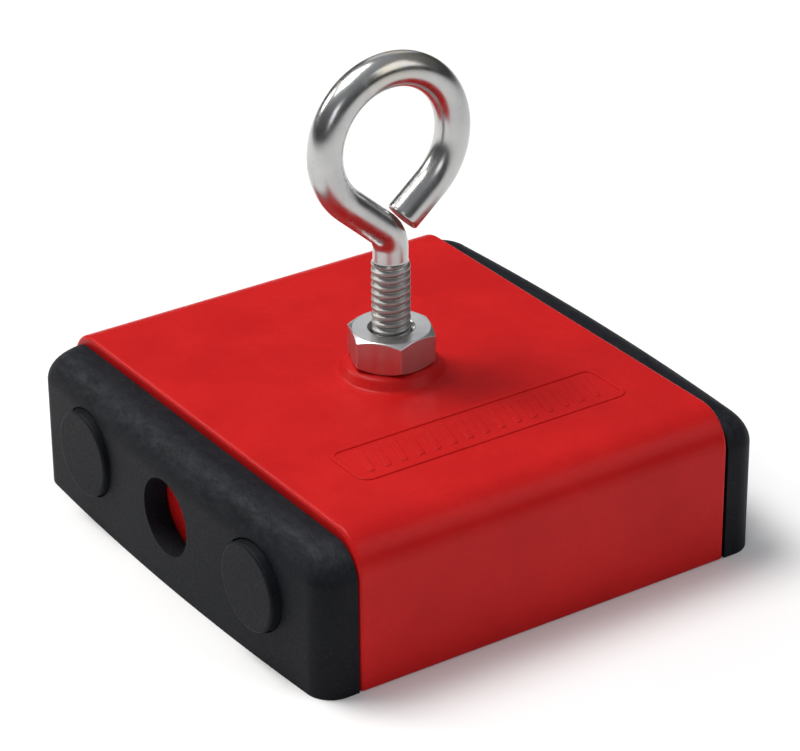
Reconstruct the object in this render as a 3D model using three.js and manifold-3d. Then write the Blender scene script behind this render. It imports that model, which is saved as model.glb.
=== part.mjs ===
// Retrieving and lifting magnet: a moulded housing over a sandwich of steel poles and ferrite
// blocks, two moulded end caps screwed to the outer poles, and an eyebolt with a jam nut.
// Millimetres. +X runs from cap to cap, +Y along the caps, +Z up. Z = 0 is the working face.
import * as THREE from "three";
import { mergeVertices } from "three/addons/utils/BufferGeometryUtils.js";
import Module from "manifold-3d";

// ---- driving dimensions ----
const GAP = 0.3; // clearance between neighbouring pieces
const HOUSING_L = 68.0; // along X
const WIDTH = 85.0; // along Y
const HEIGHT = 25.6; // top face of the housing
const TOP_R = 6.2; // rounding of the two long top edges
const WALL = 2.4;
const BOSS = { top: 27.5, rTop: 7.1, rBase: 8.5, bore: 3.5 };
const CAP = { face: 42.1, bow: 1.6, back: HOUSING_L / 2 + GAP, top: 24.0, side: 42.4, faceR: 5.6, cornerR: 4.4, sideR: 5.6, hole: 6.4, wall: 38.1 };
const HOLE_Z = 12.3;
const PLUG = { y: 24.9, z: 12.3, rHead: 7.05, groove: 7.4, seat: 40.6, face: 42.9, stem: 4.5 };
const SCREW = { r: 2.0, head: 4.2, seat: 37.2, headTop: 39.8, tip: 26.6 };
const POLE = { outer0: 25.15, outer1: 31.3, centre: 6.0, height: 20.6, halfY: 39.7, chamfer: 3.2 };
const FERRITE = { z0: 0.8, z1: 20.3, y0: 0.2, y1: 38.3 };
const PAD = { z0: 20.9, z1: 22.7, halfX: 31.2, halfY: 37.4 };
const NUT = { z0: 27.78, z1: 33.1, af: 12.7, bore: 3.42, phase: 38.5 };
const THREAD = { major: 3.1, minor: 2.5, pitch: 1.27, z0: 6.5, z1: 44.0 };
const WIRE_R = 2.8;
const EYE = { cz: 64.8, r: 11.7, bendZ: 49.14, bendR: 5.0, endU: 2.45, tail: 39.7 };

const wasm = await Module();
wasm.setup();

// ---- helpers ----
function solid(geometry) {
  let g = geometry.clone();
  for (const a of Object.keys(g.attributes)) if (a !== "position") g.deleteAttribute(a);
  g = mergeVertices(g, 1e-4);
  return new wasm.Manifold(
    new wasm.Mesh({
      numProp: 3,
      vertProperties: new Float32Array(g.attributes.position.array),
      triVerts: new Uint32Array(g.index.array),
    }),
  );
}
function geometryOf(manifold) {
  const m = manifold.getMesh();
  const pos = new Float32Array((m.vertProperties.length / m.numProp) * 3);
  for (let i = 0, k = 0; i < m.vertProperties.length; i += m.numProp) {
    pos[k++] = m.vertProperties[i];
    pos[k++] = m.vertProperties[i + 1];
    pos[k++] = m.vertProperties[i + 2];
  }
  const g = new THREE.BufferGeometry();
  g.setAttribute("position", new THREE.BufferAttribute(pos, 3));
  g.setIndex(new THREE.BufferAttribute(new Uint32Array(m.triVerts), 1));
  g.computeVertexNormals();
  return g;
}
const box = (x0, x1, y0, y1, z0, z1) =>
  solid(new THREE.BoxGeometry(x1 - x0, y1 - y0, z1 - z0).translate((x0 + x1) / 2, (y0 + y1) / 2, (z0 + z1) / 2));
// cylinder along X
const cylX = (r, x0, x1, y, z, n = 32) =>
  solid(new THREE.CylinderGeometry(r, r, Math.abs(x1 - x0), n).rotateZ(Math.PI / 2).translate((x0 + x1) / 2, y, z));
// profile of [r, z] points turned about Z
const lathe = (points, n = 32) =>
  new THREE.LatheGeometry(points.map(([r, z]) => new THREE.Vector2(r, z)), n).rotateX(Math.PI / 2);
// a YZ outline extruded along X
function extrudeX(outline, x0, x1) {
  const shape = new THREE.Shape(outline.map(([y, z]) => new THREE.Vector2(y, z)));
  const g = new THREE.ExtrudeGeometry(shape, { depth: x1 - x0, bevelEnabled: false });
  // shape (y, z) in the XY plane, depth along Z  ->  (depth, y, z)
  g.applyMatrix4(new THREE.Matrix4().set(0, 0, 1, x0, 1, 0, 0, 0, 0, 1, 0, 0, 0, 0, 0, 1));
  return solid(g);
}
function arc(cy, cz, r, a0, a1, n) {
  const out = [];
  for (let i = 0; i <= n; i++) {
    const a = THREE.MathUtils.degToRad(a0 + ((a1 - a0) * i) / n);
    out.push([cy + r * Math.cos(a), cz + r * Math.sin(a)]);
  }
  return out;
}
const bridge = (half, z0, z1, r, n) => [
  [-half, z0], [half, z0],
  ...arc(half - r, z1 - r, r, 0, 90, n),
  ...arc(-half + r, z1 - r, r, 90, 180, n),
];

const group = new THREE.Group();
const MATERIALS = {
  housing_red: new THREE.MeshStandardMaterial({ color: 0xc81a1c, roughness: 0.42, metalness: 0 }),
  cap_black: new THREE.MeshStandardMaterial({ color: 0x24262a, roughness: 0.68, metalness: 0 }),
  zinc_steel: new THREE.MeshStandardMaterial({ color: 0xb9bcc0, roughness: 0.25, metalness: 1 }),
  pole_steel: new THREE.MeshStandardMaterial({ color: 0x8a8d90, roughness: 0.45, metalness: 1 }),
  ferrite: new THREE.MeshStandardMaterial({ color: 0x3a3b3d, roughness: 0.8, metalness: 0 }),
  pad_foam: new THREE.MeshStandardMaterial({ color: 0x2a2a2a, roughness: 0.95, metalness: 0 }),
};
function add(name, manifold, slot) {
  const mesh = new THREE.Mesh(geometryOf(manifold), MATERIALS[slot]);
  mesh.name = name;
  group.add(mesh);
}

// ---- housing: open-bottomed shell, boss round the bolt, spigots on the end walls ----
{
  const h = HOUSING_L / 2;
  let m = extrudeX(bridge(WIDTH / 2, 0, HEIGHT, TOP_R, 10), -h, h);
  m = m.subtract(extrudeX(bridge(WIDTH / 2 - WALL, -1, HEIGHT - WALL, TOP_R - WALL, 8), -h + WALL, h - WALL));
  const boss = [[0, HEIGHT - 1], [BOSS.rBase + 0.5, HEIGHT - 1], [BOSS.rBase + 0.5, HEIGHT + 0.05], [BOSS.rBase, HEIGHT + 0.15], [BOSS.rBase - 0.2, HEIGHT + 0.5],
    [BOSS.rBase - 0.5, HEIGHT + 1.1], [BOSS.rTop + 0.55, HEIGHT + 1.6], [BOSS.rTop, BOSS.top - 0.05], [BOSS.rTop - 0.5, BOSS.top], [0, BOSS.top]];
  m = m.add(solid(lathe(boss, 40)));
  // lower collar inside, round the bolt
  m = m.subtract(solid(lathe([[0, HEIGHT - 6], [BOSS.bore, HEIGHT - 6], [BOSS.bore, HEIGHT + 4], [0, HEIGHT + 4]], 32)));
  for (const s of [-1, 1]) {
    m = m.add(cylX(7.2, s * (h - 1), s * (CAP.wall - GAP), 0, HOLE_Z, 32));
    for (const y of [-PLUG.y, PLUG.y]) m = m.subtract(cylX(SCREW.r + GAP, s * (h - 6), s * (h + 4), y, PLUG.z, 24));
  }
  add("housing", m, "housing_red");
}

// ---- end caps ----
// plan outline of a cap at one level: back edge straight, outer face bowed, corners rounded
function capOutline(offFace, offSide) {
  const side = CAP.side - offSide;
  const pts = [];
  const faceX = (y) => CAP.face - offFace - CAP.bow * (y / CAP.side) ** 2;
  const r = Math.max(0.6, Math.min(CAP.cornerR, CAP.cornerR * 1.0));
  const back = CAP.back;
  pts.push([back, -side]);
  const n = 8;
  const xs = faceX(side - r);
  const rx = Math.min(r, Math.max(0.3, xs - back - 0.05));
  for (let i = 0; i <= n; i++) {
    const a = (Math.PI / 2) * (i / n);
    pts.push([xs - rx + rx * Math.sin(a), -(side - r) - r * Math.cos(a)]);
  }
  const m = 14;
  for (let i = 1; i < m; i++) {
    const y = -(side - r) + (2 * (side - r) * i) / m;
    pts.push([faceX(y), y]);
  }
  for (let i = 0; i <= n; i++) {
    const a = (Math.PI / 2) * (1 - i / n);
    pts.push([xs - rx + rx * Math.sin(a), side - r + r * Math.cos(a)]);
  }
  pts.push([back, side]);
  return pts;
}
function loft(levels) {
  // levels: [{z, pts}] with equal point counts, bottom to top, outlines counter-clockwise from above
  const n = levels[0].pts.length;
  const pos = [], idx = [];
  for (const { z, pts } of levels) for (const [x, y] of pts) pos.push(x, y, z);
  for (let l = 0; l + 1 < levels.length; l++)
    for (let i = 0; i < n; i++) {
      const a = l * n + i, b = l * n + ((i + 1) % n), c = a + n, d = b + n;
      idx.push(a, b, d, a, d, c);
    }
  const flat = (l, up) => {
    const tris = THREE.ShapeUtils.triangulateShape(levels[l].pts.map(([x, y]) => new THREE.Vector2(x, y)), []);
    for (const [a, b, c] of tris) up ? idx.push(l * n + a, l * n + b, l * n + c) : idx.push(l * n + a, l * n + c, l * n + b);
  };
  flat(0, false);
  flat(levels.length - 1, true);
  const g = new THREE.BufferGeometry();
  g.setAttribute("position", new THREE.Float32BufferAttribute(pos, 3));
  g.setIndex(idx);
  return solid(g);
}
function cap() {
  const levels = [];
  const add1 = (z) => {
    const f = z - (CAP.top - CAP.faceR), s = z - (CAP.top - CAP.sideR);
    const offF = f > 0 ? CAP.faceR - Math.sqrt(Math.max(0, CAP.faceR ** 2 - f ** 2)) : 0;
    const offS = s > 0 ? CAP.sideR - Math.sqrt(Math.max(0, CAP.sideR ** 2 - s ** 2)) : 0;
    levels.push({ z, pts: capOutline(Math.min(offF, CAP.face - CAP.bow - CAP.back - 0.8), offS) });
  };
  add1(0);
  add1(CAP.top - CAP.sideR);
  for (let i = 1; i <= 8; i++) add1(CAP.top - CAP.sideR + CAP.sideR * Math.sin((Math.PI / 2) * (i / 8)));
  let m = loft(levels);
  // pocket in the back, with columns left for the screws
  let pocket = box(CAP.back - 1, CAP.wall, -37.5, 37.5, 3.0, 19.85);
  for (const y of [-PLUG.y, PLUG.y]) pocket = pocket.subtract(cylX(7.0, CAP.back - 2, CAP.wall + 1, y, PLUG.z, 32));
  m = m.subtract(pocket);
  m = m.subtract(cylX(CAP.hole, CAP.wall - 1, CAP.face + 2, 0, HOLE_Z, 40));
  for (const y of [-PLUG.y, PLUG.y]) {
    m = m.subtract(cylX(PLUG.groove, PLUG.seat, CAP.face + 2, y, PLUG.z, 40));
    m = m.subtract(cylX(4.8, SCREW.seat, CAP.face, y, PLUG.z, 32));
    m = m.subtract(cylX(SCREW.r + GAP, CAP.back - 1, SCREW.seat + 1, y, PLUG.z, 24));
  }
  return m;
}
const turned = (m) => m.rotate([0, 0, 180]);
const capSolid = cap();
add("end_cap_back", capSolid, "cap_black");
add("end_cap_front", turned(capSolid), "cap_black");

// ---- cover plugs and cap screws ----
function plug(y) {
  const r = PLUG.rHead, f = PLUG.face, e = 0.8;
  const prof = [[0, f], [r - 2.2, f - 0.02], [r - e, f - 0.1], [r - 0.3, f - 0.35], [r, f - e], [r, PLUG.seat + GAP], [PLUG.stem, PLUG.seat + GAP], [PLUG.stem, SCREW.headTop + GAP], [0, SCREW.headTop + GAP]];
  const g = new THREE.LatheGeometry(prof.reverse().map(([a, b]) => new THREE.Vector2(a, b)), 40); // about +Y
  g.rotateZ(-Math.PI / 2).translate(0, y, PLUG.z); // +Y -> +X
  return solid(g);
}
function screw(y) {
  const { r, head, seat, headTop, tip } = SCREW, s = seat + GAP;
  const prof = [[0, tip], [r - 0.6, tip], [r, tip + 0.8], [r, s], [head, s], [head, headTop - 1.0], [head - 0.9, headTop], [0, headTop]];
  const g = new THREE.LatheGeometry(prof.map(([a, b]) => new THREE.Vector2(a, b)), 24);
  g.rotateZ(-Math.PI / 2).translate(0, y, PLUG.z);
  let m = solid(g);
  // hexagon socket
  const socket = solid(new THREE.CylinderGeometry(1.9, 1.9, 1.8, 6).rotateZ(Math.PI / 2).translate(headTop - 0.5, y, PLUG.z));
  return m.subtract(socket);
}
for (const [end, turn] of [["back", false], ["front", true]])
  for (const [side, y] of [["left", -PLUG.y], ["right", PLUG.y]]) {
    const p = plug(y), s = screw(y);
    add(`cover_plug_${end}_${side}`, turn ? turned(p) : p, "cap_black");
    add(`cap_screw_${end}_${side}`, turn ? turned(s) : s, "zinc_steel");
  }

// ---- pole plates ----
const poleOutline = [[-POLE.halfY, 0], [POLE.halfY, 0], [POLE.halfY, POLE.height - POLE.chamfer], [POLE.halfY - POLE.chamfer, POLE.height],
  [-POLE.halfY + POLE.chamfer, POLE.height], [-POLE.halfY, POLE.height - POLE.chamfer]];
let outer = extrudeX(poleOutline, POLE.outer0, POLE.outer1);
for (const y of [-PLUG.y, PLUG.y]) outer = outer.subtract(cylX(SCREW.r + GAP, POLE.outer0 - 1, POLE.outer1 + 1, y, PLUG.z, 24));
add("outer_pole_back", outer, "pole_steel");
add("outer_pole_front", turned(outer), "pole_steel");
let centre = extrudeX(poleOutline, -POLE.centre, POLE.centre);
centre = centre.subtract(solid(lathe([[0, 5.0], [THREAD.major - 0.1, 5.8], [THREAD.major + GAP, 6.2], [THREAD.major + GAP, 19.8], [THREAD.major + 0.9, 20.9], [0, 20.9]], 24)));
add("centre_pole", centre, "pole_steel");

// ---- ferrite blocks ----
for (const [end, sx] of [["back", 1], ["front", -1]])
  for (const [side, sy] of [["left", -1], ["right", 1]]) {
    const x0 = POLE.centre + GAP, x1 = POLE.outer0 - GAP;
    const xs = [sx * x0, sx * x1].sort((a, b) => a - b), ys = [sy * FERRITE.y0, sy * FERRITE.y1].sort((a, b) => a - b);
    add(`ferrite_block_${end}_${side}`, box(xs[0], xs[1], ys[0], ys[1], FERRITE.z0, FERRITE.z1), "ferrite");
  }

// ---- backing pad under the housing's top ----
{
  let m = box(-PAD.halfX, PAD.halfX, -PAD.halfY, PAD.halfY, PAD.z0, PAD.z1);
  m = m.subtract(solid(lathe([[0, PAD.z0 - 1], [5, PAD.z0 - 1], [5, PAD.z1 + 1], [0, PAD.z1 + 1]], 24)));
  add("backing_pad", m, "pad_foam");
}

// ---- jam nut: hexagon, chamfered on both faces ----
{
  const R = NUT.af / Math.sqrt(3);
  let m = solid(new THREE.CylinderGeometry(R, R, NUT.z1 - NUT.z0, 6).rotateX(Math.PI / 2).translate(0, 0, (NUT.z0 + NUT.z1) / 2)
    .rotateZ(THREE.MathUtils.degToRad(NUT.phase)));
  const a = NUT.af / 2, c = 0.65;
  m = m.intersect(solid(lathe([[0, NUT.z0], [a - 0.1, NUT.z0], [R + 0.3, NUT.z0 + c], [R + 0.3, NUT.z1 - c], [a - 0.1, NUT.z1], [0, NUT.z1]], 48)));
  const b = NUT.bore;
  m = m.subtract(solid(lathe([[0, NUT.z0 - 1], [b + 1.1, NUT.z0 - 1], [b + 0.5, NUT.z0], [b, NUT.z0 + 0.5], [b, NUT.z1 - 0.5], [b + 0.5, NUT.z1], [b + 1.1, NUT.z1 + 1], [0, NUT.z1 + 1]], 32)));
  add("jam_nut", m, "zinc_steel");
}

// ---- eyebolt: threaded shank and bent wire eye ----
{
  const t = THREAD;
  const prof = [[0, t.z0], [t.minor - 0.4, t.z0], [t.minor, t.z0 + 0.5]];
  let z = t.z0 + 0.5 + t.pitch / 2;
  for (; z < t.z1; z += t.pitch) prof.push([t.major, z - 0.08], [t.major, z + 0.08], [t.minor, z + t.pitch / 2]);
  const end = z;
  prof.push([WIRE_R, end], [WIRE_R, end + 1.2], [0, end + 1.2]);
  let m = solid(lathe(prof, 20));
  // centreline of the eye in the XZ plane: up, bent to the left, round over the top and back down to the cut end
  const rad = THREE.MathUtils.degToRad;
  const lean = Math.asin(EYE.r / (EYE.cz - EYE.bendZ)); // angle of the left leg from the vertical
  const line = [];
  const T = EYE.bendR * Math.tan(lean / 2);
  line.push([0, end + 0.4]);
  const c0 = [-EYE.bendR, EYE.bendZ - T];
  for (let i = 0; i <= 6; i++) {
    const a = lean * (i / 6);
    line.push([c0[0] + EYE.bendR * Math.cos(a), c0[1] + EYE.bendR * Math.sin(a)]);
  }
  const start = 180 + THREE.MathUtils.radToDeg(lean), stop = -90 + EYE.tail, n = 40;
  for (let i = 0; i <= n; i++) {
    const a = rad(start + ((stop - start) * i) / n);
    line.push([EYE.r * Math.cos(a), EYE.cz + EYE.r * Math.sin(a)]);
  }
  const e0 = line[line.length - 1];
  const len = (e0[0] - EYE.endU) / Math.cos(rad(EYE.tail));
  line.push([EYE.endU, e0[1] - len * Math.sin(rad(EYE.tail))]);
  const p3 = line.map(([u, zz]) => new THREE.Vector3(u, 0, zz));
  class Poly extends THREE.Curve {
    constructor(points) {
      super();
      this.points = points;
      this.arcs = [0];
      for (let i = 1; i < points.length; i++) this.arcs.push(this.arcs[i - 1] + points[i].distanceTo(points[i - 1]));
    }
    getPoint(t, target = new THREE.Vector3()) {
      const s = t * this.arcs[this.arcs.length - 1];
      let i = 1;
      while (i < this.arcs.length - 1 && this.arcs[i] < s) i++;
      return target.copy(this.points[i - 1]).lerp(this.points[i], (s - this.arcs[i - 1]) / (this.arcs[i] - this.arcs[i - 1]));
    }
  }
  const curve = new Poly(p3);
  const section = new THREE.Shape();
  for (let i = 0; i < 16; i++) {
    const a = (i / 16) * Math.PI * 2, x = WIRE_R * Math.cos(a), y = WIRE_R * Math.sin(a);
    i ? section.lineTo(x, y) : section.moveTo(x, y);
  }
  const g = new THREE.ExtrudeGeometry(section, { steps: 64, extrudePath: curve, bevelEnabled: false, curveSegments: 1 });
  let tube = solid(g);
  if (tube.volume() < 0) throw new Error("tube inside out");
  m = m.add(tube);
  add("eyebolt", m, "zinc_steel");
}

export default group;
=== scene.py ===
import bpy, bmesh, math
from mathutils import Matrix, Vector


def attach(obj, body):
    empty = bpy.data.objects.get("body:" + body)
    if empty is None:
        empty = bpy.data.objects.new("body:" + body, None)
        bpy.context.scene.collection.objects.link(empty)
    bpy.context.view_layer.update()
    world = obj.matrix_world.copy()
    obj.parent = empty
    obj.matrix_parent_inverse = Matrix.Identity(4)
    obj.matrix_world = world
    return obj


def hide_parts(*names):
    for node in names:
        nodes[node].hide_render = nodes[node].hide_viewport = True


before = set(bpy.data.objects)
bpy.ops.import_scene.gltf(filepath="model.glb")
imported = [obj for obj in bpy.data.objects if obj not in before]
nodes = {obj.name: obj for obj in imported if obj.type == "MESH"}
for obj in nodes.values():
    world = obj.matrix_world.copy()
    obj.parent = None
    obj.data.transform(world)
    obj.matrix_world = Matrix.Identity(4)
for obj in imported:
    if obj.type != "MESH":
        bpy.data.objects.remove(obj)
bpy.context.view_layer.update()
S = 0.001  # the shapes below are written in millimetres

# ------------------------------------------------------------------ dimensions, as in the CAD
HL, HW, HH = 34.0, 42.5, 25.6          # housing half length, half width, height
TOP_R, WALL = 6.2, 2.4
BACK, FACE, BOW, CTOP, CSIDE = 34.3, 42.1, 1.6, 24.0, 42.4
CAP_FACE_R, CAP_SIDE_R, CAP_CORNER_R = 5.6, 5.6, 4.4
HOLE_Z, PY = 12.3, 24.9
THREAD_MAJOR, THREAD_MINOR, PITCH = 3.1, 2.62, 1.27
THREAD_TOP, WIRE = 44.5, 2.8
EYE_Z, EYE_R, BEND_Z, BEND_R, END_U, TAIL = 64.8, 11.7, 49.14, 5.0, 2.1, math.radians(39.7)


# ------------------------------------------------------------------ mesh helpers
def make(name, verts, faces, mat=None, smooth=32.0):
    me = bpy.data.meshes.new(name)
    me.from_pydata([(x * S, y * S, z * S) for x, y, z in verts], [], faces)
    me.validate()
    bm = bmesh.new()
    bm.from_mesh(me)
    bmesh.ops.remove_doubles(bm, verts=bm.verts, dist=1e-8)
    bmesh.ops.recalc_face_normals(bm, faces=bm.faces)
    bm.to_mesh(me)
    bm.free()
    ob = bpy.data.objects.new(name, me)
    bpy.context.scene.collection.objects.link(ob)
    if mat:
        me.materials.append(mat)
    shade(ob, smooth)
    return ob


def shade(ob, angle=32.0):
    me = ob.data
    me.shade_smooth()
    me.set_sharp_from_angle(angle=math.radians(angle))


def apply(ob):
    dg = bpy.context.evaluated_depsgraph_get()
    dg.update()
    me = bpy.data.meshes.new_from_object(ob.evaluated_get(dg), preserve_all_data_layers=True, depsgraph=dg)
    old = ob.data
    ob.modifiers.clear()
    ob.data = me
    me.name = ob.name
    bpy.data.meshes.remove(old)


def boolean(ob, cutters, op="DIFFERENCE"):
    for c in cutters:
        m = ob.modifiers.new("cut", "BOOLEAN")
        m.operation, m.solver, m.object = op, "EXACT", c
    apply(ob)
    for c in cutters:
        bpy.data.objects.remove(c)


def bevel(ob, width, angle=40, segments=3):
    m = ob.modifiers.new("edge", "BEVEL")
    m.width, m.segments, m.limit_method, m.angle_limit = width * S, segments, "ANGLE", math.radians(angle)
    m.use_clamp_overlap, m.harden_normals, m.miter_outer = True, False, "MITER_ARC"
    apply(ob)


def weighted(ob):
    m = ob.modifiers.new("normals", "WEIGHTED_NORMAL")
    m.keep_sharp, m.weight, m.mode = True, 60, "FACE_AREA"


def join(name, obs):
    verts, faces = [], []
    for o in obs:
        k = len(verts)
        verts += [tuple(v.co / S) for v in o.data.vertices]
        faces += [tuple(k + i for i in p.vertices) for p in o.data.polygons]
        bpy.data.objects.remove(o)
    me = bpy.data.meshes.new(name)
    me.from_pydata([(x * S, y * S, z * S) for x, y, z in verts], [], faces)
    ob = bpy.data.objects.new(name, me)
    bpy.context.scene.collection.objects.link(ob)
    return ob


def rounded(pts, radii, n=4):
    """The polyline with each inner corner replaced by n + 1 points of a smooth curve."""
    out = [pts[0]]
    for i in range(1, len(pts) - 1):
        p, a, b = Vector(pts[i]), Vector(pts[i - 1]), Vector(pts[i + 1])
        r = radii[i] if isinstance(radii, (list, tuple)) else radii
        if r <= 0:
            out.append(tuple(p))
            continue
        la, lb = (a - p).length, (b - p).length
        d = min(r, la * 0.45, lb * 0.45)
        p0, p1 = p + (a - p).normalized() * d, p + (b - p).normalized() * d
        for k in range(n + 1):
            t = k / n
            out.append(tuple(p0 * (1 - t) ** 2 + p * 2 * t * (1 - t) + p1 * t ** 2))
    out.append(pts[-1])
    return out


def revolve(profile, n=64, axis="Z", at=(0, 0, 0), closed=False):
    """(r, h) points turned about an axis. Ends on the axis become single points; closed joins last to first."""
    verts, rows = [], []
    for r, h in profile:
        if r < 1e-6:
            rows.append([len(verts)] * n)
            verts.append((0, 0, h))
        else:
            rows.append(list(range(len(verts), len(verts) + n)))
            verts += [(r * math.cos(2 * math.pi * i / n), r * math.sin(2 * math.pi * i / n), h) for i in range(n)]
    faces = []
    pairs = list(zip(rows, rows[1:])) + ([(rows[-1], rows[0])] if closed else [])
    for a, b in pairs:
        for i in range(n):
            j = (i + 1) % n
            f = [a[i], a[j], b[j], b[i]]
            f = [v for k, v in enumerate(f) if v != f[k - 1]]
            if len(f) > 2:
                faces.append(f)
    if axis in ("X", "-X"):
        s = 1 if axis == "X" else -1
        verts = [(s * z, x, y) for x, y, z in verts]
    return [(x + at[0], y + at[1], z + at[2]) for x, y, z in verts], faces


def loft(rings, caps=True):
    n = len(rings[0])
    verts = [p for r in rings for p in r]
    faces = []
    for l in range(len(rings) - 1):
        for i in range(n):
            j = (i + 1) % n
            faces.append([l * n + i, l * n + j, (l + 1) * n + j, (l + 1) * n + i])
    if caps:
        faces.append(list(range(n - 1, -1, -1)))
        faces.append([(len(rings) - 1) * n + i for i in range(n)])
    return verts, faces


def block(x0, x1, y0, y1, z0, z1):
    return loft([[(x0, y0, z), (x1, y0, z), (x1, y1, z), (x0, y1, z)] for z in (z0, z1)])


# ------------------------------------------------------------------ materials
class Mat:
    def __init__(self, name):
        self.m = bpy.data.materials.new(name)
        self.m.use_nodes = True
        self.t = self.m.node_tree
        self.t.nodes.clear()
        self.out = self.t.nodes.new("ShaderNodeOutputMaterial")
        self.b = self.t.nodes.new("ShaderNodeBsdfPrincipled")
        self.t.links.new(self.b.outputs[0], self.out.inputs[0])
        self.co = self.t.nodes.new("ShaderNodeTexCoord")

    def link(self, a, b):
        self.t.links.new(a, b)

    def coords(self, scale=(1, 1, 1), rot=(0, 0, 0)):
        n = self.t.nodes.new("ShaderNodeMapping")
        n.inputs["Scale"].default_value = scale
        n.inputs["Rotation"].default_value = rot
        self.link(self.co.outputs["Object"], n.inputs["Vector"])
        return n.outputs[0]

    def noise(self, scale, detail=3.0, rough=0.55, vec=None, distortion=0.0):
        n = self.t.nodes.new("ShaderNodeTexNoise")
        n.inputs["Scale"].default_value = scale
        n.inputs["Detail"].default_value = detail
        n.inputs["Roughness"].default_value = rough
        n.inputs["Distortion"].default_value = distortion
        self.link(vec if vec is not None else self.co.outputs["Object"], n.inputs["Vector"])
        return n.outputs["Fac"]

    def voronoi(self, scale, vec=None):
        n = self.t.nodes.new("ShaderNodeTexVoronoi")
        n.inputs["Scale"].default_value = scale
        self.link(vec if vec is not None else self.co.outputs["Object"], n.inputs["Vector"])
        return n.outputs["Distance"]

    def ramp(self, fac, stops):
        n = self.t.nodes.new("ShaderNodeValToRGB")
        e = n.color_ramp.elements
        while len(e) < len(stops):
            e.new(0.5)
        for k, (p, c) in enumerate(stops):
            e[k].position = p
            e[k].color = c if isinstance(c, tuple) and len(c) == 4 else ((*c, 1) if isinstance(c, tuple) else (c, c, c, 1))
        self.link(fac, n.inputs["Fac"])
        return n.outputs["Color"]

    def rng(self, fac, a, b, c, d):
        n = self.t.nodes.new("ShaderNodeMapRange")
        n.inputs["From Min"].default_value, n.inputs["From Max"].default_value = a, b
        n.inputs["To Min"].default_value, n.inputs["To Max"].default_value = c, d
        self.link(fac, n.inputs["Value"])
        return n.outputs[0]

    def mix(self, fac, a, b, blend="MIX"):
        n = self.t.nodes.new("ShaderNodeMix")
        n.data_type, n.blend_type = "RGBA", blend
        for sock, v in (("Factor", fac),):
            s = n.inputs[0]
            if isinstance(v, (int, float)):
                s.default_value = v
            else:
                self.link(v, s)
        for idx, v in ((6, a), (7, b)):
            if isinstance(v, tuple):
                n.inputs[idx].default_value = (*v, 1)
            else:
                self.link(v, n.inputs[idx])
        return n.outputs[2]

    def math(self, op, a, b=0.5, clamp=False):
        n = self.t.nodes.new("ShaderNodeMath")
        n.operation, n.use_clamp = op, clamp
        for i, v in enumerate((a, b)):
            if isinstance(v, (int, float)):
                n.inputs[i].default_value = v
            else:
                self.link(v, n.inputs[i])
        return n.outputs[0]

    def xyz(self):
        n = self.t.nodes.new("ShaderNodeSeparateXYZ")
        self.link(self.co.outputs["Object"], n.inputs[0])
        return n.outputs

    def bump(self, height, strength, dist, normal=None):
        n = self.t.nodes.new("ShaderNodeBump")
        n.inputs["Strength"].default_value = strength
        n.inputs["Distance"].default_value = dist
        self.link(height, n.inputs["Height"])
        if normal is not None:
            self.link(normal, n.inputs["Normal"])
        return n.outputs[0]

    def set(self, **kw):
        names = {"color": "Base Color", "rough": "Roughness", "metal": "Metallic", "normal": "Normal", "ior": "IOR",
                 "coat": "Coat Weight", "coat_rough": "Coat Roughness", "spec": "Specular IOR Level"}
        for k, v in kw.items():
            s = self.b.inputs[names[k]]
            if isinstance(v, (int, float)):
                s.default_value = v
            elif isinstance(v, tuple):
                s.default_value = (*v, 1)
            else:
                self.link(v, s)
        return self.m


def red_plastic():
    m = Mat("housing_red_plastic")
    broad = m.noise(70, 4, 0.6)
    fine = m.noise(1500, 2, 0.5)
    c = m.mix(m.rng(broad, 0.35, 0.65, 0, 1), (0.480, 0.0085, 0.0090), (0.552, 0.0115, 0.0112))
    c = m.mix(m.rng(fine, 0.35, 0.7, 0.0, 0.35), c, (0.43, 0.0070, 0.0078))
    scuff = m.noise(260, 5, 0.7, m.coords((1, 0.25, 1), (0, 0, 0.5)))
    rough = m.math("ADD", m.rng(broad, 0.3, 0.7, 0.30, 0.37), m.rng(scuff, 0.55, 0.8, 0.0, 0.12))
    n = m.bump(m.noise(120, 2, 0.5), 0.12, 0.0004)
    n = m.bump(m.noise(1400, 3, 0.6), 0.16, 0.00006, n)
    return m.set(color=c, rough=rough, normal=n, ior=1.47, spec=0.12)


def black_plastic(name, top_dust_and_sheen=True):
    m = Mat(name)
    grain = m.noise(2600, 3, 0.7)
    broad = m.noise(90, 4, 0.6)
    speck = m.voronoi(1500)
    c = m.mix(m.rng(broad, 0.3, 0.7, 0, 1), (0.0060, 0.0066, 0.0088), (0.0098, 0.0107, 0.0138))
    c = m.mix(m.rng(speck, 0.0, 0.30, 0.40, 0.0), c, (0.036, 0.038, 0.043))
    # a lighter band on the upper part of each cap's rounded top edge (19.5 to 24.1 mm up), broken by noise: partly
    # dust, partly a painted highlight where the rounding faces the light
    if top_dust_and_sheen:
        z = m.xyz()[2]
        band = m.math("MULTIPLY", m.rng(z, 0.0195, 0.0228, 0, 1), m.rng(z, 0.0241, 0.0232, 0.25, 1))
        dust_and_sheen = m.math("MULTIPLY", band, m.rng(m.noise(700, 6, 0.8, m.coords((1, 0.45, 1))), 0.40, 0.64, 0.0, 0.34))
        c = m.mix(dust_and_sheen, c, (0.062, 0.066, 0.076))
    rough = m.math("ADD", m.rng(grain, 0.3, 0.7, 0.48, 0.62), m.rng(broad, 0.3, 0.7, -0.03, 0.05))
    n = m.bump(grain, 0.34, 0.00010)
    n = m.bump(m.noise(300, 3, 0.5), 0.10, 0.0002, n)
    return m.set(color=c, rough=rough, normal=n, ior=1.48, spec=0.09)


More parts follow.
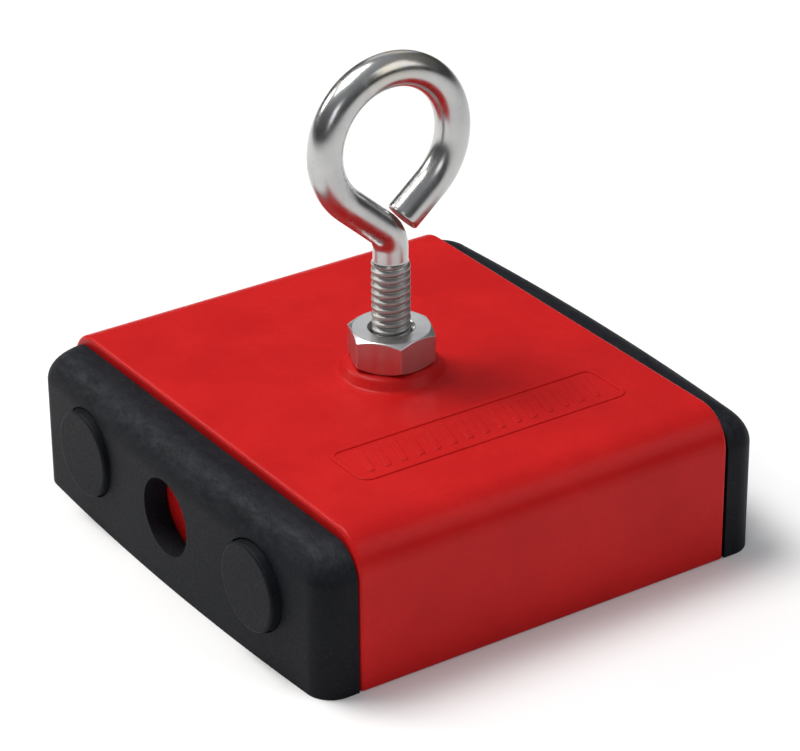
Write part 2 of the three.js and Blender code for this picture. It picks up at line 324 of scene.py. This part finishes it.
def zinc(name, thread=False, rough=0.16, base=0.74):
    m = Mat(name)
    z = m.xyz()[2]
    broad = m.noise(150, 4, 0.6)
    streak = m.noise(500, 4, 0.6, m.coords((1, 1, 0.12)))
    c = m.mix(m.rng(broad, 0.3, 0.7, 0, 1), (base, base, base * 0.985), (base * 0.84, base * 0.845, base * 0.85))
    pits = m.rng(m.voronoi(900), 0.0, 0.22, 0.55, 0.0)
    pit_mask = m.math("MULTIPLY", pits, m.rng(m.noise(140, 3, 0.6), 0.52, 0.66, 0, 1))
    c = m.mix(pit_mask, c, (0.30, 0.29, 0.27))
    r = m.math("ADD", m.rng(streak, 0.3, 0.7, rough - 0.03, rough + 0.06), m.rng(broad, 0.45, 0.7, 0.0, 0.06))
    n = m.bump(streak, 0.03, 0.00006)
    n = m.bump(m.voronoi(900), 0.02, 0.00005, n)
    if thread:
        top = m.math("MULTIPLY", m.rng(z, 0.0745, 0.0785, 0, 1), m.rng(m.noise(210, 3, 0.6), 0.46, 0.60, 0, 0.45))
        c = m.mix(top, c, (0.60, 0.50, 0.30))
        low = m.rng(z, 0.0436, 0.0450, 1, 0)
        c = m.mix(m.math("MULTIPLY", low, 0.8), c, (base * 0.62, base * 0.61, base * 0.59))
        r = m.math("ADD", r, m.math("MULTIPLY", low, 0.20))
    return m.set(color=c, rough=r, metal=1.0, normal=n)


def cut_end():
    m = Mat("eyebolt_cut_end")
    a = m.noise(900, 5, 0.7)
    c = m.mix(m.rng(a, 0.35, 0.65, 0, 1), (0.30, 0.20, 0.17), (0.52, 0.42, 0.38))
    return m.set(color=c, rough=m.rng(a, 0.3, 0.7, 0.34, 0.55), metal=0.9, normal=m.bump(m.noise(700, 4, 0.7, m.coords((1, 1, 0.3))), 0.5, 0.00015))


def pole_steel():
    m = Mat("pole_ground_steel")
    brush = m.noise(900, 4, 0.65, m.coords((1, 0.05, 1)))
    broad = m.noise(110, 4, 0.6)
    c = m.mix(m.rng(brush, 0.3, 0.7, 0, 1), (0.40, 0.405, 0.41), (0.58, 0.58, 0.575))
    c = m.mix(m.rng(broad, 0.58, 0.75, 0, 0.5), c, (0.27, 0.25, 0.23))
    return m.set(color=c, rough=m.rng(brush, 0.3, 0.7, 0.26, 0.42), metal=1.0, normal=m.bump(brush, 0.22, 0.00006))


def ferrite():
    m = Mat("ferrite_sintered")
    grain = m.noise(1800, 4, 0.75)
    broad = m.noise(80, 4, 0.6)
    c = m.mix(m.rng(broad, 0.3, 0.7, 0, 1), (0.036, 0.036, 0.039), (0.060, 0.060, 0.063))
    c = m.mix(m.rng(grain, 0.56, 0.75, 0, 0.6), c, (0.11, 0.11, 0.115))
    return m.set(color=c, rough=m.rng(grain, 0.3, 0.7, 0.58, 0.78), normal=m.bump(grain, 0.4, 0.00012))


def rubber_pad():
    m = Mat("pad_rubber")
    grain = m.noise(1200, 4, 0.8)
    c = m.mix(m.rng(grain, 0.3, 0.7, 0, 1), (0.018, 0.018, 0.018), (0.034, 0.034, 0.034))
    return m.set(color=c, rough=0.85, normal=m.bump(grain, 0.5, 0.00015))


RED = red_plastic()
BLACK = black_plastic("cap_black_plastic")
PLUGM = black_plastic("plug_black_plastic", top_dust_and_sheen=False)
ZINC = zinc("eyebolt_zinc", thread=True, rough=0.21, base=0.52)
NUTZ = zinc("nut_zinc", rough=0.29, base=0.63)
SCREWZ = zinc("screw_zinc", rough=0.26, base=0.66)
CUT = cut_end()
STEEL = pole_steel()
FERR = ferrite()
PAD = rubber_pad()


# ------------------------------------------------------------------ housing
def bridge_ring(x, d=0.0, w=HW, h=HH, r=TOP_R, n=18, z0=0.0, foot=0.25):
    """YZ outline of the body at x, drawn in by d at its sides and top."""
    w, h, r = w - d, h - d, r - d
    pts = [(x, -w + foot, z0), (x, w - foot, z0), (x, w, z0 + foot)] if foot else [(x, -w, z0), (x, w, z0)]
    pts += [(x, w - r + r * math.cos(a), h - r + r * math.sin(a)) for a in [math.pi / 2 * i / n for i in range(n + 1)]]
    pts += [(x, -w + r - r * math.sin(a), h - r + r * math.cos(a)) for a in [math.pi / 2 * i / n for i in range(n + 1)]]
    if foot:
        pts.append((x, -w, z0 + foot))
    return pts


def housing():
    e = 0.7
    rings = []
    for k in range(9):
        a = math.pi / 2 * k / 8
        rings.append(bridge_ring(-HL + e * (1 - math.cos(a)), e * (1 - math.sin(a))))
    rings += [bridge_ring(-HL + 3.0), bridge_ring(HL - 3.0)]
    rings += [[(-x, y, z) for x, y, z in r] for r in reversed(rings[:9])]
    shell = make("housing_shell", *loft(rings))
    inner = [bridge_ring(x, 0, HW - WALL, HH - WALL, TOP_R - WALL, 12, -1, 0) for x in (-HL + WALL, HL - WALL)]
    cuts = [make("c1", *loft(inner)), make("c2", *revolve([(0, 20), (3.5, 20), (3.5, 29), (0, 29)], 48))]
    for s in (-1, 1):
        for y in (-PY, PY):
            cuts.append(make("c3", *revolve([(0, HL - 5), (2.3, HL - 5), (2.3, HL + 3), (0, HL + 3)], 24, "X" if s > 0 else "-X", (0, y, HOLE_Z))))
    boolean(shell, cuts)
    # boss round the bolt: a flat top, a rounded shoulder, a conical side and a fillet into the top face
    prof = rounded([(3.5, 24.4), (3.5, 27.48), (7.25, 27.50), (8.50, 25.74), (9.2, 25.61), (9.3, 25.5), (9.3, 24.4)],
                   [0, 0.2, 0.8, 0.5, 0.05, 0.05, 0], 7)
    boss = make("boss", *revolve(prof, 96, closed=True))
    extra = [boss]
    for s in ("X", "-X"):
        sp = rounded([(0, 33.6), (7.2, 33.6), (7.2, 37.8), (0, 37.8)], [0, 0, 0.35, 0], 4)
        extra.append(make("spigot", *revolve(sp, 64, s, (0, 0, HOLE_Z))))
    extra += emblem()
    ob = join("housing_body", [shell] + extra)
    ob.data.materials.append(RED)
    shade(ob, 33)
    weighted(ob)
    return ob


def rrect(cx, cy, hx, hy, r, z, n=8):
    pts = []
    for qx, qy, a0 in ((1, 1, 0), (-1, 1, 90), (-1, -1, 180), (1, -1, 270)):
        for i in range(n + 1):
            a = math.radians(a0 + 90 * i / n)
            pts.append((cx + qx * (hx - r) + r * math.cos(a), cy + qy * (hy - r) + r * math.sin(a), z))
    return pts


def emblem():
    """A plain raised panel: a rounded border with slanting ribs inside it, no lettering."""
    cx, cy, hx, hy, z0, z1 = 1.0, -22.8, 25.0, 5.4, HH - 0.25, HH + 0.20
    out = []
    w, e = 0.95, 0.20
    loops = [rrect(cx, cy, hx, hy, 2.2, z0), rrect(cx, cy, hx, hy, 2.2, z1 - e), rrect(cx, cy, hx - e * 0.35, hy - e * 0.35, 2.2 - e * 0.35, z1 - e * 0.3),
             rrect(cx, cy, hx - e, hy - e, 2.2 - e, z1), rrect(cx, cy, hx - w + e, hy - w + e, 2.2 - w + e, z1),
             rrect(cx, cy, hx - w + e * 0.35, hy - w + e * 0.35, 2.2 - w + e * 0.35, z1 - e * 0.3), rrect(cx, cy, hx - w, hy - w, 2.2 - w, z1 - e), rrect(cx, cy, hx - w, hy - w, 2.2 - w, z0)]
    v, f = loft(loops + [loops[0]], caps=False)
    out.append(make("emblem_frame", v, f))
    count, pitch, half, slant = 15, 3.0, 3.2, 1.5
    for k in range(count):
        x = cx + (k - (count - 1) / 2) * pitch
        rings = []
        for z, d in ((z0, 0), (z1 - 0.16, 0), (z1 - 0.07, 0.07), (z1 - 0.02, 0.18)):
            hw, hh = 0.62 - d, half - d
            ring = []
            for px, py, _ in rrect(0, 0, hw, hh, 0.42 - d * 0.6 if hw > 0.45 else 0.3, 0, 4):
                ring.append((x + px + py * slant / half * 0.55, cy + py, z))
            rings.append(ring)
        out.append(make("emblem_rib", *loft(rings)))
    return out


# ------------------------------------------------------------------ end caps
def cap_outline(z):
    face_r, side_r, corner_r, n, m = CAP_FACE_R, CAP_SIDE_R, CAP_CORNER_R, 14, 40
    f, s = z - (CTOP - face_r), z - (CTOP - side_r)
    off_f = face_r - math.sqrt(max(0, face_r ** 2 - f * f)) if f > 0 else 0
    off_s = side_r - math.sqrt(max(0, side_r ** 2 - s * s)) if s > 0 else 0
    off_f = min(off_f, FACE - BOW - BACK - 0.8)
    side = CSIDE - off_s
    face = lambda y: FACE - off_f - BOW * (y / side) ** 2
    xs = face(side - corner_r)
    rx = min(corner_r, max(0.3, xs - BACK - 0.05))
    pts = [(BACK, -side)]
    pts += [(xs - rx + rx * math.sin(math.pi / 2 * i / n), -(side - corner_r) - corner_r * math.cos(math.pi / 2 * i / n)) for i in range(n + 1)]
    pts += [(face(y), y) for y in [-(side - corner_r) + 2 * (side - corner_r) * i / m for i in range(1, m)]]
    pts += [(xs - rx + rx * math.cos(math.pi / 2 * i / n), side - corner_r + corner_r * math.sin(math.pi / 2 * i / n)) for i in range(n + 1)]
    pts.append((BACK, side))
    return [(x, y, z) for x, y in pts]


def cap(s, name):
    zs = [0.0, 4.0, 8.0, 12.0, 15.0, CTOP - CAP_SIDE_R] + [CTOP - CAP_SIDE_R + CAP_SIDE_R * math.sin(math.pi / 2 * i / 20) for i in range(1, 21)]
    verts, faces = loft([cap_outline(z) for z in zs])
    ob = make(name, [(s * x, s * y, z) for x, y, z in verts], faces)
    ax = "X" if s > 0 else "-X"
    cuts = [make("k", *block(*sorted((s * (BACK - 1), s * 38.1)), -37.5, 37.5, 3.0, 19.85))]
    cuts.append(make("k", *revolve([(0, 37), (6.4, 37), (6.4, 46), (0, 46)], 96, ax, (0, 0, HOLE_Z))))
    for y in (-PY, PY):
        cuts.append(make("k", *revolve([(0, 40.6), (7.45, 40.6), (7.45, 46), (0, 46)], 96, ax, (0, y, HOLE_Z))))
        cuts.append(make("k", *revolve([(0, 37.2), (4.8, 37.2), (4.8, 46), (0, 46)], 48, ax, (0, y, HOLE_Z))))
    boolean(ob, cuts)
    bevel(ob, 0.24, 45, 3)
    ob.data.materials.clear()
    ob.data.materials.append(BLACK)
    shade(ob, 33)
    weighted(ob)
    return ob


def plug(s, y, name):
    prof = rounded([(0, 40.1), (4.5, 40.1), (4.5, 40.85), (7.22, 40.85), (7.14, 42.87), (0, 42.9)], [0, 0.2, 0, 0.2, 0.55, 0], 8)
    # a face that is very slightly dished, as moulded
    ob = make(name, *revolve(prof, 96, "X" if s > 0 else "-X", (0, y, HOLE_Z)), PLUGM, 40)
    weighted(ob)
    return ob


# ------------------------------------------------------------------ nut
def nut():
    z0, z1, a, bore = 27.56, 33.1, 12.7 / 2, 3.16
    n, verts, cols = 360, [], []
    for i in range(n):
        t = 2 * math.pi * i / n
        phi = (math.degrees(t) - 38.5) % 60
        # two neighbouring flats, blended so that the corner is slightly rounded
        r1, r2 = a / math.cos(math.radians(phi)), a / math.cos(math.radians(60 - phi))
        k = 16.0
        mlo = min(r1, r2)
        R = mlo - math.log(math.exp(-k * (r1 - mlo)) + math.exp(-k * (r2 - mlo))) / k
        R = max(R, 0.1)
        rt = a - 0.12
        dz = max(0.0, (R - rt)) * 0.577 + 0.02
        prof = [(bore, z0 + 0.75), (bore + 0.62, z0), (rt, z0), (R, z0 + dz), (R, z1 - dz), (rt, z1), (bore + 0.62, z1), (bore, z1 - 0.75)]
        prof = rounded(prof, [0, 0.10, 0.16, 0.10, 0.10, 0.16, 0.10, 0], 4)
        prof = prof[:]
        cols.append([(r * math.cos(t), r * math.sin(t), z) for r, z in prof])
    m = len(cols[0])
    for c in cols:
        verts += c
    faces = []
    for i in range(n):
        j = (i + 1) % n
        for k in range(m):
            l = (k + 1) % m
            faces.append([i * m + k, j * m + k, j * m + l, i * m + l])
    ob = make("hex_nut", verts, faces, NUTZ, 26)
    weighted(ob)
    return ob


# ------------------------------------------------------------------ eyebolt
def thread_r(z, t):
    f = (z / PITCH - t / (2 * math.pi)) % 1.0
    d = abs(f - 0.5) * 2  # 0 at the crest, 1 at the root
    v = min(1.0, max(0.0, (d - 0.26) / 0.66))
    v = v * v * (3 - 2 * v) * 0.35 + v * 0.65
    return THREAD_MAJOR + (THREAD_MINOR - THREAD_MAJOR) * v


def eyebolt():
    n, step = 72, PITCH / 18
    rings = []

    def flat_ring(r, z):
        rings.append([(r * math.cos(2 * math.pi * i / n), r * math.sin(2 * math.pi * i / n), z) for i in range(n)])

    flat_ring(1.9, 6.5)
    flat_ring(2.5, 7.1)
    flat_ring(2.6, 14.0)
    flat_ring(2.6, 19.4)
    z = 19.6
    while z < THREAD_TOP + 0.9:
        ring = []
        for i in range(n):
            t = 2 * math.pi * i / n
            r = thread_r(z, t)
            lead = min(1.0, max(0.0, (z - 19.6) / 0.6))
            out = min(1.0, max(0.0, (z - (THREAD_TOP - 0.5)) / 1.1))
            out = out * out * (3 - 2 * out)
            r = 2.6 + (r - 2.6) * lead
            r = r + (WIRE - r) * out
            ring.append((r * math.cos(t), r * math.sin(t), z))
        rings.append(ring)
        z += step
    # centreline of the eye, (u, z) in the XZ plane
    line = []
    lean = math.asin(EYE_R / (EYE_Z - BEND_Z))
    T = BEND_R * math.tan(lean / 2)
    for i in range(13):
        a = lean * i / 12
        line.append((-BEND_R + BEND_R * math.cos(a), BEND_Z - T + BEND_R * math.sin(a), math.pi / 2 + a))
    a0, a1, m = math.pi + lean, TAIL - math.pi / 2, 120
    p_end = line[-1]
    p_start = (EYE_R * math.cos(a0), EYE_Z + EYE_R * math.sin(a0))
    for i in range(1, 8):
        s = i / 8
        line.append((p_end[0] + (p_start[0] - p_end[0]) * s, p_end[1] + (p_start[1] - p_end[1]) * s, math.pi / 2 + lean))
    for i in range(m + 1):
        a = a0 + (a1 - a0) * i / m
        line.append((EYE_R * math.cos(a), EYE_Z + EYE_R * math.sin(a), a - math.pi / 2))
    e = line[-1]
    length = (e[0] - END_U) / math.cos(TAIL)
    for s in (0.15, 0.3, 0.45, 0.6, 0.75, 0.9, 0.955):
        line.append((e[0] - length * math.cos(TAIL) * s, e[1] - length * math.sin(TAIL) * s, math.pi + TAIL))

    def section(u, v, ang, r):
        nu, nv = math.sin(ang), -math.cos(ang)
        ring = []
        for i in range(n):
            t = 2 * math.pi * i / n
            ring.append((u + nu * r * math.cos(t), r * math.sin(t), v + nv * r * math.cos(t)))
        return ring

    for u, v, ang in line:
        rings.append(section(u, v, ang, WIRE))
    u, v, ang = line[-1]
    du, dv = math.cos(ang), math.sin(ang)
    for d, r in ((0.10, WIRE - 0.03), (0.22, WIRE - 0.12), (0.30, WIRE - 0.27)):
        rings.append(section(u + du * d, v + dv * d, ang, r))
    tail = len(rings)
    rings.append(section(u + du * 0.32, v + dv * 0.32, ang, WIRE - 1.0))
    rings.append(section(u + du * 0.26, v + dv * 0.26, ang, 0.9))
    ob = make("eyebolt_wire", *loft(rings), ZINC, 45)
    ob.data.materials.append(CUT)
    # the cut face takes the rougher finish
    c = Vector((u + du * 0.3, 0, v + dv * 0.3)) * S
    d = Vector((du, 0, dv))
    for p in ob.data.polygons:
        if (p.center - c).length < 2.62 * S and abs(p.normal.dot(d)) > 0.75:
            p.material_index = 1
    weighted(ob)
    return ob


# ------------------------------------------------------------------ put it together
def place(ob, body, slot, *replaced):
    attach(ob, body)
    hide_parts(*replaced)


place(housing(), "magnet_body", "housing_red", "housing")
for s, end in ((1, "back"), (-1, "front")):
    place(cap(s, f"end_cap_{end}_body"), "magnet_body", "cap_black", f"end_cap_{end}")
    for y, side in ((-PY, "left"), (PY, "right")):
        place(plug(s, s * y, f"plug_{end}_{side}"), "magnet_body", "plug_black", f"cover_plug_{end}_{side}")
place(nut(), "nut", "nut_zinc", "jam_nut")
place(eyebolt(), "eyebolt", "eyebolt_zinc", "eyebolt")

for name, ob in nodes.items():
    mat = None
    if name.startswith("cap_screw"):
        mat, w = SCREWZ, 0.15
    elif "pole" in name:
        mat, w = STEEL, 0.35
    elif name.startswith("ferrite"):
        mat, w = FERR, 0.4
    elif name == "backing_pad":
        mat, w = PAD, 0.2
    if mat is None:
        continue
    ob.data.materials.clear()
    ob.data.materials.append(mat)
    m = ob.modifiers.new("edge", "BEVEL")
    m.width, m.segments, m.limit_method, m.angle_limit = w * S, 2, "ANGLE", math.radians(50)
    m.use_clamp_overlap = True

# ------------------------------------------------------------------ floor, light and camera
fm = Mat("floor_paper")
fn = fm.noise(40, 4, 0.6)
fm.set(color=fm.mix(fm.rng(fn, 0.3, 0.7, 0, 1), (0.93, 0.93, 0.93), (0.94, 0.94, 0.94)), rough=0.9, normal=fm.bump(fm.noise(900, 3, 0.6), 0.03, 0.0001), spec=0.1)
floor = make("floor", [(-6000, -6000, -0.05), (6000, -6000, -0.05), (6000, 6000, -0.05), (-6000, 6000, -0.05)], [[0, 1, 2, 3]], fm.m)

scene = bpy.context.scene
world = bpy.data.worlds.new("studio")
scene.world = world
world.use_nodes = True
bg = world.node_tree.nodes["Background"]
wt = world.node_tree
tc = wt.nodes.new("ShaderNodeTexCoord")
sep = wt.nodes.new("ShaderNodeSeparateXYZ")
wt.links.new(tc.outputs["Generated"], sep.inputs[0])
wr = wt.nodes.new("ShaderNodeValToRGB")
for p_, c_ in ((0.0, 0.03), (0.12, 0.05), (0.45, 0.16)):
    el_ = wr.color_ramp.elements.new(p_) if p_ else wr.color_ramp.elements[0]
    el_.position, el_.color = p_, (c_, c_, c_ * 1.05, 1)
wr.color_ramp.elements[-1].color = (0.42, 0.43, 0.45, 1)
wt.links.new(sep.outputs[2], wr.inputs[0])
wt.links.new(wr.outputs[0], bg.inputs[0])
bg.inputs[1].default_value = 1.0


def area(name, loc, target, size, power, colour=(1, 1, 1), size_y=None):
    ld = bpy.data.lights.new(name, "AREA")
    ld.energy, ld.color, ld.size = power, colour, size
    if size_y:
        ld.shape, ld.size_y = "RECTANGLE", size_y
    lo = bpy.data.objects.new(name, ld)
    lo.location = loc
    lo.rotation_euler = (Vector(target) - Vector(loc)).to_track_quat("-Z", "Y").to_euler()
    scene.collection.objects.link(lo)
    return lo


area("key", (-0.25, 0.35, 0.95), (0, 0, 0.02), 0.55, 9.6, (1.0, 0.99, 0.97))
area("front", (-0.75, -0.75, 0.55), (0, 0, 0.03), 0.35, 0.9, (0.97, 0.985, 1.0))
area("right", (0.62, -0.80, 0.78), (0, 0, 0.03), 0.75, 2.6, (1.0, 1.0, 1.0))
area("edge", (-0.50, 0.80, 0.53), (0, 0, 0.02), 0.30, 2.2, (1.0, 0.97, 0.93))
# a pale backdrop behind the object, for the bright metal
sheen = area("backdrop", (0.86, 1.20, 0.80), (0, 0, 0.05), 0.9, 1.7, (0.98, 0.99, 1.0))
metal = bpy.data.collections.new("bright_metal")
for n_ in ("eyebolt_wire", "hex_nut"):
    metal.objects.link(bpy.data.objects[n_])
sheen.light_linking.receiver_collection = metal

az, el, roll = math.radians(-33.661), math.radians(27.577), math.radians(-0.51)
back = Vector((math.sin(az) * math.cos(el), -math.cos(az) * math.cos(el), math.sin(el)))
right = Vector((0, 0, 1)).cross(back).normalized()
up = back.cross(right)
r2 = math.cos(roll) * right + math.sin(roll) * up
u2 = -math.sin(roll) * right + math.cos(roll) * up
pos = (Vector((0, 0, 20)) + back * 538.376 + r2 * 1.269 + u2 * 3.884) * S
cd = bpy.data.cameras.new("camera")
cd.lens, cd.sensor_width = 3389.434 / 800 * 36, 36
cd.clip_start, cd.clip_end = 0.01, 50
co = bpy.data.objects.new("camera", cd)
from mathutils import Matrix
co.matrix_world = Matrix(((r2.x, u2.x, back.x, pos.x), (r2.y, u2.y, back.y, pos.y), (r2.z, u2.z, back.z, pos.z), (0, 0, 0, 1)))
scene.collection.objects.link(co)
scene.camera = co
scene.view_settings.view_transform = "Standard"
